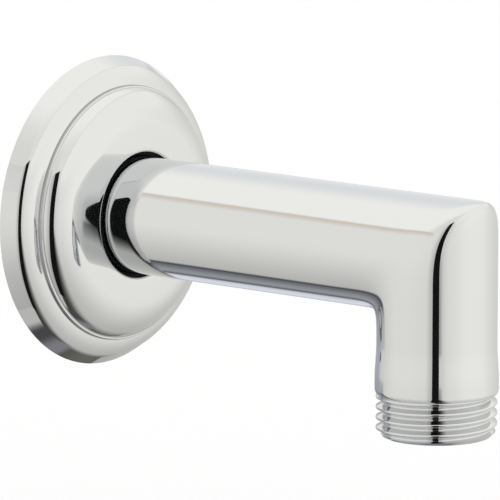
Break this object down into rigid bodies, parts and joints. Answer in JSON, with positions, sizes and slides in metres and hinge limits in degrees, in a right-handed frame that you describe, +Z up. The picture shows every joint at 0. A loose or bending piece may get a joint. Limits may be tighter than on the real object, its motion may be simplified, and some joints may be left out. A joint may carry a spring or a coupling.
{
  "type": "wall outlet elbow",
  "caption": "Chromed wall outlet elbow for a shower hose: round arm with a mitred bend down to a threaded outlet, stepped sliding escutcheon and non-return valve.",
  "frame": {"origin": "on the axis of the arm, in the plane of the finished wall, where the wall thread ends", "axes": "+X out of the wall along the arm, +Z up, the outlet points along -Z"},
  "size_m": [0.0997, 0.0558, 0.0591],
  "materials": {
    "polished_chrome": "polished chrome plate on brass",
    "black_rubber": "smooth black rubber",
    "bare_brass": "turned brass, unplated",
    "stainless_steel": "plain stainless steel",
    "white_plastic": "moulded acetal",
    "blue_plastic": "moulded acetal"
  },
  "bodies": {
    "elbow": {"elbow_body": "polished_chrome", "connecting_nipple": "bare_brass", "nipple_o_ring_rear": "black_rubber", "nipple_o_ring_front": "black_rubber", "grub_screw": "stainless_steel", "check_valve_housing": "white_plastic", "check_valve_guide": "blue_plastic", "check_valve_o_ring": "black_rubber", "check_valve_spring": "stainless_steel"},
    "cover": {"escutcheon": "polished_chrome", "escutcheon_o_ring": "black_rubber"},
    "plunger": {"check_valve_plunger": "white_plastic", "check_valve_seal": "black_rubber"}
  },
  "joints": [
    {"name": "escutcheon_slide", "type": "slide", "parent": "elbow", "child": "cover", "axis": [1, 0, 0], "range_m": [0, 0.03]},
    {"name": "check_valve_lift", "type": "slide", "parent": "elbow", "child": "plunger", "axis": [0, 0, -1], "range_m": [0, 0.002], "stiffness_N_per_m": 100, "springref_m": -0.0016, "deforming": ["check_valve_spring"]}
  ]
}
